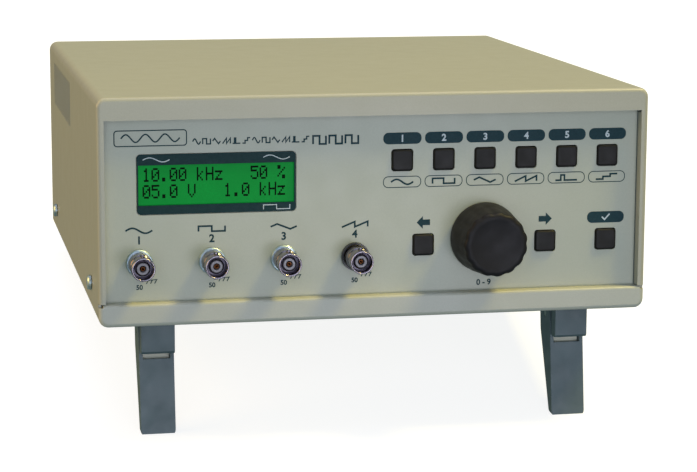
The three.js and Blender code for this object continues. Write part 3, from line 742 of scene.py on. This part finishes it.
add("display_film", window_film(), "window", "case", ["display_window"])
finish_cad("display_cell", "screen", 0.05)
add("display_reading", display_dots(), "pixel", "case")
dress("display_frame", "zinc")
dress("display_board", "board")
dress("key_board", "board")


# ------------------------------------------------------------------ printed panel markings

PILL = (16.3, 4.9)
PILL_RADIUS = 2.2
PILL_RISE = 9.15  # from a key's middle to the middle of the marking above or below it
LINE = 0.35


def stroke(points, width, y=None):
    """A line of even width through (x, z) points."""
    y = INK_FACE if y is None else y
    shape = bmesh.new()
    sides = []
    for i, point in enumerate(points):
        here = Vector(point)
        before = Vector(points[max(i - 1, 0)])
        after = Vector(points[min(i + 1, len(points) - 1)])
        first = (here - before).normalized() if i else (after - here).normalized()
        second = (after - here).normalized() if i < len(points) - 1 else first
        across = Vector((-(first + second).y, (first + second).x)).normalized()
        mitre = max(across.dot(Vector((-first.y, first.x))), 0.4)
        offset = across * (width / 2 / mitre)
        sides.append([
            shape.verts.new((corner.x, y, corner.y)) for corner in (here + offset, here - offset)
        ])
    for (a, b), (c, d) in zip(sides, sides[1:]):
        shape.faces.new((a, b, d, c))
    face_front(shape)
    return shape


FIGURE_WEIGHT = 0.032  # how much the outline of a figure is thickened, as a share of its size


def numerals(text, height, x, z, y=None):
    """Flat figures of a given height, centred on (x, z)."""
    y = INK_FACE if y is None else y
    curve = bpy.data.curves.new("figures", "FONT")
    curve.body = text
    curve.offset = FIGURE_WEIGHT
    obj = bpy.data.objects.new("figures", curve)
    bpy.context.scene.collection.objects.link(obj)
    bpy.context.view_layer.update()
    drawn = obj.evaluated_get(bpy.context.evaluated_depsgraph_get())
    mesh = bpy.data.meshes.new_from_object(drawn)
    bpy.data.objects.remove(obj)
    bpy.data.curves.remove(curve)
    shape = bmesh.new()
    shape.from_mesh(mesh)
    bpy.data.meshes.remove(mesh)
    xs = [v.co.x for v in shape.verts]
    zs = [v.co.y for v in shape.verts]
    scale = height / (max(zs) - min(zs))
    for vertex in shape.verts:
        vertex.co = (
            x + (vertex.co.x - (min(xs) + max(xs)) / 2) * scale,
            y,
            z + (vertex.co.y - (min(zs) + max(zs)) / 2) * scale,
        )
    face_front(shape)
    return shape


# Each wave is a list of (x, z) points centred on zero.

def sine(width, height, steps=24):
    return [
        (width * (i / steps - 0.5), height / 2 * math.sin(2 * math.pi * i / steps))
        for i in range(steps + 1)
    ]


def square_wave(width, height):
    w, h = width / 2, height / 2
    return [(-w, -h), (-w, h), (0, h), (0, -h), (w, -h), (w, h)]


def triangle_wave(width, height):
    w, h = width / 2, height / 2
    return [(-w, 0), (-w / 2, h), (w / 2, -h), (w, 0)]


def ramp_wave(width, height):
    w, h = width / 2, height / 2
    return [(-w, -h), (0, h), (0, -h), (w, h), (w, -h)]


def pulse_wave(width, height):
    w, h = width / 2, height / 2
    return [(-w, -h), (-w / 2, -h), (-w / 2, h), (-w / 6, h), (-w / 6, -h), (w, -h)]


def step_wave(width, height):
    w, h = width / 2, height / 2
    return [(-w, -h), (-w / 3, -h), (-w / 3, 0), (w / 3, 0), (w / 3, h), (w, h)]


WAVES = [sine, square_wave, triangle_wave, ramp_wave, pulse_wave, step_wave]


def arrow(direction):
    """A broad arrow pointing left (-1) or right (1)."""
    tip, neck = 2.9, 0.2
    shaft, barb = 1.2, 2.7
    points = [(-tip, shaft), (neck, shaft), (neck, barb), (tip, 0)]
    points += [(neck, -barb), (neck, -shaft), (-tip, -shaft)]
    return [(direction * x, z) for x, z in points]


dark_ink = []
pale_ink = []

# Each upper key has a numbered pill above it and an outlined pill with a wave below it.
PILL_FIGURE = 3.0
PILL_WAVE = (9.5, 2.2)
PILL_WAVE_WIDTH = 0.75
pill = rounded_rectangle(*PILL, PILL_RADIUS)
pill_hole = rounded_rectangle(PILL[0] - 2 * LINE, PILL[1] - 2 * LINE, PILL_RADIUS - LINE)
for number, (key, wave) in enumerate(zip(UPPER_KEYS, WAVES), start=1):
    middle = Span(key).middle
    above, below = middle.z + PILL_RISE, middle.z - PILL_RISE
    frame_line = band(moved(pill, middle.x, below), moved(pill_hole, middle.x, below), INK_FACE)
    dark_ink.append(flat(moved(pill, middle.x, above), INK_FACE))
    pale_ink.append(numerals(str(number), PILL_FIGURE, middle.x, above, INK_FACE - INK_LIFT))
    dark_ink.append(frame_line)
    dark_ink.append(stroke(moved(wave(*PILL_WAVE), middle.x, below), PILL_WAVE_WIDTH))

# The enter key has a ticked pill above it, and each arrow key an arrow.
LOWER_MARK_RISE = 9.4
TICK = [(-1.6, 0.1), (-0.4, -1.1), (1.8, 1.3)]
TICK_LINE = 0.6
enter = Span("key_enter").middle
dark_ink.append(flat(moved(pill, enter.x, enter.z + LOWER_MARK_RISE), INK_FACE))
tick = moved(TICK, enter.x, enter.z + LOWER_MARK_RISE)
pale_ink.append(stroke(tick, TICK_LINE, INK_FACE - INK_LIFT))
for key, direction in zip(ARROW_KEYS, (-1, 1)):
    middle = Span(key).middle
    mark = moved(arrow(direction), middle.x, middle.z + LOWER_MARK_RISE)
    dark_ink.append(flat(mark, INK_FACE))

# Each jack has a wave and a number above it, a value below it and a ground sign at its lower right.
JACK_NUMBER = {"height": 3.4, "rise": 9.4}
JACK_WAVE = {"size": (11, 2.2), "rise": 13.4, "line": 0.75}
JACK_VALUE = {"height": 2.1, "drop": 10.2}
GROUND_FROM_JACK = (2.2, -7.5)  # left end of the ground sign's bar
GROUND_BAR = (5.2, 0.4)  # how far the bar runs, and how much it rises
GROUND_BAR_LINE = 0.35
GROUND_HATCH = {"start": 1.4, "pitch": 1.7, "run": (-0.8, -1.5), "line": 0.42}
for number, jack in enumerate(JACKS, start=1):
    middle = Span(f"{jack}_shell").middle
    wave = moved(WAVES[number - 1](*JACK_WAVE["size"]), middle.x, middle.z + JACK_WAVE["rise"])
    number_z = middle.z + JACK_NUMBER["rise"]
    dark_ink.append(numerals(str(number), JACK_NUMBER["height"], middle.x, number_z))
    dark_ink.append(stroke(wave, JACK_WAVE["line"]))
    value_z = middle.z - JACK_VALUE["drop"]
    dark_ink.append(numerals("50", JACK_VALUE["height"], middle.x, value_z))
    x, z = middle.x + GROUND_FROM_JACK[0], middle.z + GROUND_FROM_JACK[1]
    bar = [(x, z), (x + GROUND_BAR[0], z + GROUND_BAR[1])]
    dark_ink.append(stroke(bar, GROUND_BAR_LINE))
    run, drop = GROUND_HATCH["run"]
    for i in range(3):
        top = (x + GROUND_HATCH["start"] + GROUND_HATCH["pitch"] * i, z + GROUND_BAR[1] / 2)
        dark_ink.append(stroke([top, (top[0] + run, top[1] + drop)], GROUND_HATCH["line"]))

KNOB_CAPTION = {"text": "0 - 9", "height": 2.6, "drop": 19.4}
knob = Span("control_knob").middle
caption_z = knob.z - KNOB_CAPTION["drop"]
dark_ink.append(numerals(KNOB_CAPTION["text"], KNOB_CAPTION["height"], knob.x, caption_z))

# In the upper left corner: a frame with three waves in it, a row of small waves, and three
# larger square waves.
BADGE = {"x": -93.9, "z": 77.2, "size": (30, 6.8), "corner": 1.4, "line": 0.45}
BADGE_WAVE = {"size": (8, 3.2), "line": 0.6}
SMALL_WAVES = {"x": -75, "z": 75.4, "pitch": 4.1, "count": 12, "size": (3.2, 2.2), "line": 0.55}
LARGE_WAVES = {"x": -24, "z": 74.9, "pitch": 6.8, "count": 3, "size": (5.4, 3.4), "line": 0.8}


def badge_frame():
    """A rounded rectangle drawn as a line."""
    width, height = BADGE["size"]
    line = BADGE["line"]
    outside = rounded_rectangle(width, height, BADGE["corner"])
    inside = rounded_rectangle(width - 2 * line, height - 2 * line, 1.0)
    place = (BADGE["x"], BADGE["z"])
    return band(moved(outside, *place), moved(inside, *place), INK_FACE)


def wave_row(row, waves):
    """Small waves side by side, taking the given kinds in turn."""
    strokes = []
    for i in range(row["count"]):
        wave = waves[i % len(waves)](*row["size"])
        place = (row["x"] + i * row["pitch"], row["z"])
        strokes.append(stroke(moved(wave, *place), row["line"]))
    return strokes


dark_ink.append(badge_frame())
for i in (-1, 0, 1):
    wave = moved(sine(*BADGE_WAVE["size"]), BADGE["x"] + i * BADGE_WAVE["size"][0], BADGE["z"])
    dark_ink.append(stroke(wave, BADGE_WAVE["line"]))
dark_ink += wave_row(SMALL_WAVES, WAVES)
dark_ink += wave_row(LARGE_WAVES, [square_wave])

# On the window's border: two sines above the screen and a square wave below it.
FILM_WAVE = (11, 1.8)
FILM_WAVE_IN = 8  # in from the window's side
FILM_WAVE_DOWN = 2.2  # down from the window's upper edge
FILM_WAVE_UP = 1.8  # up from its lower edge
FILM_WAVE_LINE = 0.35
film_ink = WINDOW.low.y - INK_LIFT
left_x, right_x = WINDOW.low.x + FILM_WAVE_IN, WINDOW.high.x - FILM_WAVE_IN
upper_z, lower_z = WINDOW.high.z - FILM_WAVE_DOWN, WINDOW.low.z + FILM_WAVE_UP
film_marks = [moved(sine(*FILM_WAVE), x, upper_z) for x in (left_x, right_x)]
film_marks.append(moved(square_wave(*FILM_WAVE), right_x, lower_z))
for mark in film_marks:
    pale_ink.append(stroke(mark, FILM_WAVE_LINE, film_ink))

# Painted shadow: a dark ink line along the top and both sides of the panel, where the gap between
# the panel and the rim folded round it lies in shade.
RIM = {"sides": 3.0, "top": 9.4, "bottom": 9.5}
GAP_SHADOW = 0.4
gap_shadow_x = CASE.high.x - RIM["sides"] - GAP_SHADOW / 2
gap_shadow_z = CASE.high.z - RIM["top"] - GAP_SHADOW / 2
gap_shadow = [(-gap_shadow_x, RIM["bottom"]), (-gap_shadow_x, gap_shadow_z), (gap_shadow_x, gap_shadow_z), (gap_shadow_x, RIM["bottom"])]
add("panel_gap_shadow", stroke(gap_shadow, GAP_SHADOW), "gap_shadow", "case")
add("panel_print", merged(*dark_ink), "ink", "case")
add("panel_print_pale", merged(*pale_ink), "pale_ink", "case")


# ------------------------------------------------------------------ legs and feet

LEG_LEAN = math.radians(7.4)  # a leg that is let down leans this much towards the front
STRIP_BEHIND = (-4.5, -4.42)  # front and back of the strip, from the plane through the hinge pin
STRIP_DOWN = (9.7, 12.9)  # its top and bottom, down from the pin
STRIP_HALF_WIDTH = 5.6


def slot_strip(side):
    """Strip on the leg's rib, seen through the slot under the bracket, painted pale as painted
    light: it stands for the light seen through the slot.
    """
    hinge = FROM_ROW @ Vector(JOINT[f"leg_{side}_fold"]["pos_m"])
    rings = []
    for behind in STRIP_BEHIND:
        ring = []
        for reach, down in zip((-1, 1, 1, -1), (STRIP_DOWN[0], *STRIP_DOWN, STRIP_DOWN[1])):
            y = hinge.y + behind * math.cos(LEG_LEAN) - down * math.sin(LEG_LEAN)
            z = hinge.z - behind * math.sin(LEG_LEAN) - down * math.cos(LEG_LEAN)
            ring.append((hinge.x + reach * STRIP_HALF_WIDTH, y, z))
        rings.append(ring)
    return loft(rings)


for side in ("left", "right"):
    finish_cad(f"foot_bracket_{side}", "foot", 0.5)
    finish_cad(f"tilt_leg_{side}", "foot", 0.45)
    # a pale strip of painted light behind each leg's slot
    add(f"slot_strip_{side}", slot_strip(side), "slot_light", f"leg_{side}")
    finish_cad(f"rear_foot_{side}", "foot", 0.6)
    dress(f"hinge_pin_{side}", "zinc")


# ------------------------------------------------------------------ back and inside

for node in ("power_inlet", "fuse_drawer", "rocker_frame", "power_rocker"):
    finish_cad(node, "gloss_black", 0.25)

BLADE_SIZE = (2.4, 4.4)  # over the plating
BLADE_PLACES = [(-7, 1), (0, 5), (7, 1)]  # from the middle of the socket
BLADE_SHORT_OF_FACE = 5.9
BLADE_LENGTH = 9.4
SOCKET_RISE = 1.5  # middle of the socket over the middle of the inlet


def inlet_blade(x, z):
    """Plated blade with a chamfered tip, in a sleeve over the CAD blade."""
    inlet = Span("power_inlet")
    socket_z = inlet.middle.z + SOCKET_RISE
    tip = inlet.high.y - BLADE_SHORT_OF_FACE
    width, height = BLADE_SIZE
    rings = []
    for y, inset in ((tip - BLADE_LENGTH, 0), (tip - 0.8, 0), (tip, 0.4)):
        outline = rounded_rectangle(width - 2 * inset, height - 2 * inset, 0.3, 3)
        rings.append([(inlet.middle.x + x + px, y, socket_z + z + pz) for px, pz in outline])
    return loft(rings)


blades = merged(*[inlet_blade(x, z) for x, z in BLADE_PLACES])
add("inlet_blades", blades, "zinc", "case")

ROCKER_HALF = 7.0  # from the rocker's middle to its upper or lower end
ROCKER_DIP = 3.2  # the face's middle, out from the pivot
ROCKER_SLOPE = math.atan2(1.0, ROCKER_HALF)  # each half of the face leans inwards
ROCKER_SWING = math.radians(10)  # how far it is tipped at rest
ROCKER_PIVOT = (252.0, 48.0)  # (y, z)


def rocker_mark(shape, half):
    """Sets a flat mark on the upper (1) or lower (-1) half of the rocker's hollow face."""
    middle = Span("power_rocker").middle
    slope = half * ROCKER_SLOPE
    lift = ROCKER_DIP + math.tan(ROCKER_SLOPE) * ROCKER_HALF / 2 + 0.03
    shape.transform(
        Matrix.Translation((middle.x, *ROCKER_PIVOT))
        @ Matrix.Rotation(ROCKER_SWING, 4, "X")
        @ Matrix.Translation((0, lift, half * ROCKER_HALF / 2))
        @ Matrix.Rotation(-slope, 4, "X")
        @ Matrix.Rotation(math.pi, 4, "Z")
    )
    return shape


ON_MARK = {"half_height": 1.2, "line": 0.45}
OFF_MARK = {"outer": 1.3, "inner": 0.9}
on_line = [(0, -ON_MARK["half_height"]), (0, ON_MARK["half_height"])]
on_mark = rocker_mark(stroke(on_line, ON_MARK["line"], 0), 1)
off_ring = band(circle(OFF_MARK["outer"], 24), circle(OFF_MARK["inner"], 24), 0)
off_mark = rocker_mark(off_ring, -1)
add("rocker_marks", merged(on_mark, off_mark), "pale_ink", "rocker")

# Turns that bring a screw from the left side of the case to its back and to its underside.
TO_BACK = Matrix.Rotation(-math.pi / 2, 4, "Z")
TO_BELOW = Matrix.Rotation(-math.pi / 2, 4, "Y")
REAR_SCREWS = [(x, z) for x in (-106, 106) for z in (14, 84)]


def cover_screw(turn, seat):
    """A cover screw again, its head turned another way and seated elsewhere on the case."""
    span = Span("screw_left_rear")
    screw = cad_shape("screw_left_rear")
    screw.transform(
        Matrix.Translation(seat)
        @ turn
        @ Matrix.Translation((-CASE.low.x, -span.middle.y, -span.middle.z))
    )
    return screw


rear_face = Span("rear_panel").high.y
rear_screws = [cover_screw(TO_BACK, (x, rear_face, z)) for x, z in REAR_SCREWS]
add("rear_screws", merged(*rear_screws), "washer", "case", bevel=0.12)

# The screws below hold the board by its rear corners and the transformer by its two ends.
BOARD_SCREW_IN = 8  # in from the board's corners
CORE_SCREW_OUT = 6  # out from the ends of the core
board = Span("main_board")
core = Span("transformer_core")
underside = Span("lower_tray").low.z
under_places = [
    (board.low.x + BOARD_SCREW_IN, board.high.y - BOARD_SCREW_IN),
    (board.high.x - BOARD_SCREW_IN, board.high.y - BOARD_SCREW_IN),
    (core.low.x - CORE_SCREW_OUT, core.middle.y),
    (core.high.x + CORE_SCREW_OUT, core.middle.y),
]
under_screws = [cover_screw(TO_BELOW, (x, y, underside)) for x, y in under_places]
add("under_screws", merged(*under_screws), "washer", "case", bevel=0.12)

dress("main_board", "board")
dress("transformer_core", "iron")
dress("transformer_coil", "winding")
dress("heat_sink", "aluminium")
dress("smoothing_capacitor", "gloss_black")


# ------------------------------------------------------------------ floor, light and camera

def plain_floor():
    """A wide white floor that stays white whatever light falls on it."""
    mesh = bpy.data.meshes.new("floor")
    size = 6
    corners = [(-size, -size, 0), (size, -size, 0), (size, size, 0), (-size, size, 0)]
    mesh.from_pydata(corners, [], [(0, 1, 2, 3)])
    floor = bpy.data.objects.new("floor", mesh)
    bpy.context.scene.collection.objects.link(floor)
    finish = Finish("white_floor", Roughness=0.9)
    finish.colour(finish.mix(finish.noise(300, 2), (0.3, 0.3, 0.3, 1), (0.33, 0.33, 0.33, 1)))
    finish.shader.inputs["Emission Color"].default_value = (1, 1, 1, 1)
    finish.shader.inputs["Emission Strength"].default_value = 0.85
    mesh.materials.append(finish.material)
    floor.visible_diffuse = False  # the world's light from below stands for what the floor returns
    floor.visible_glossy = False


def soft_light(name, place, aim, size, power, colour, mirrored=True):
    """A square soft box. Places are in the row frame, in metres. One that isn't mirrored lights
    surfaces but leaves no reflection on them."""
    lamp = bpy.data.lights.new(name, "AREA")
    lamp.energy = power
    lamp.size = size
    lamp.color = colour
    obj = bpy.data.objects.new(name, lamp)
    obj.location = place
    obj.rotation_euler = (Vector(aim) - Vector(place)).to_track_quat("-Z", "Y").to_euler()
    obj.visible_camera = False
    obj.visible_glossy = mirrored
    bpy.context.scene.collection.objects.link(obj)


def studio():
    """A warm lamp over the right shoulder, warm fill from the left, cool daylight from the front
    and above, a small low light that leaves a sheen on the panel, and a plain fill behind."""
    centre = (0, 0, 0.08)
    soft_light("key", (1.2, -0.24, 2.1), centre, 0.45, 46, (1.0, 0.82, 0.25))
    soft_light("overhead", (0.0, 0.2, 1.7), centre, 1.6, 13, (0.57, 0.64, 1.0))
    soft_light("front", (-0.35, -1.7, 0.6), centre, 1.2, 9.5, (0.72, 0.78, 1.0))
    soft_light("low front", (0.2, -1.0, 0.08), centre, 0.32, 2.15, (0.8, 0.79, 0.93))
    soft_light("left", (-1.5, 0.1, 0.6), centre, 1.0, 16, (1.0, 0.66, 0.22))
    soft_light("back", (0.5, 1.8, 0.25), centre, 1.0, 9, (1.0, 0.93, 0.86), mirrored=False)
    world = bpy.data.worlds.new("studio")
    world.use_nodes = True
    background = world.node_tree.nodes["Background"]
    background.inputs["Color"].default_value = (0.7, 1.0, 1.0, 1)
    background.inputs["Strength"].default_value = 0.2
    bpy.context.scene.world = world


def camera():
    """Left of and above the front, a metre or so away, looking a little down."""
    place = Vector((-198.5, -910.6, 199.9))
    forward = Vector((0.1969, 0.9648, -0.1745))
    side = Vector((0.9799, -0.1992, 0.0040))
    focal_share = 3.271  # focal length over picture width
    forward = (TO_ROW.to_3x3() @ forward).normalized()
    side = (TO_ROW.to_3x3() @ side).normalized()
    over = side.cross(forward).normalized()
    side = forward.cross(over)
    turn = Matrix((side, over, -forward)).transposed()
    data = bpy.data.cameras.new("camera")
    data.sensor_width = 36
    data.lens = 36 * focal_share
    obj = bpy.data.objects.new("camera", data)
    obj.matrix_world = Matrix.Translation(TO_ROW @ place) @ turn.to_4x4()
    bpy.context.scene.collection.objects.link(obj)
    bpy.context.scene.camera = obj


plain_floor()
studio()
camera()
bpy.context.scene.view_settings.view_transform = "Standard"
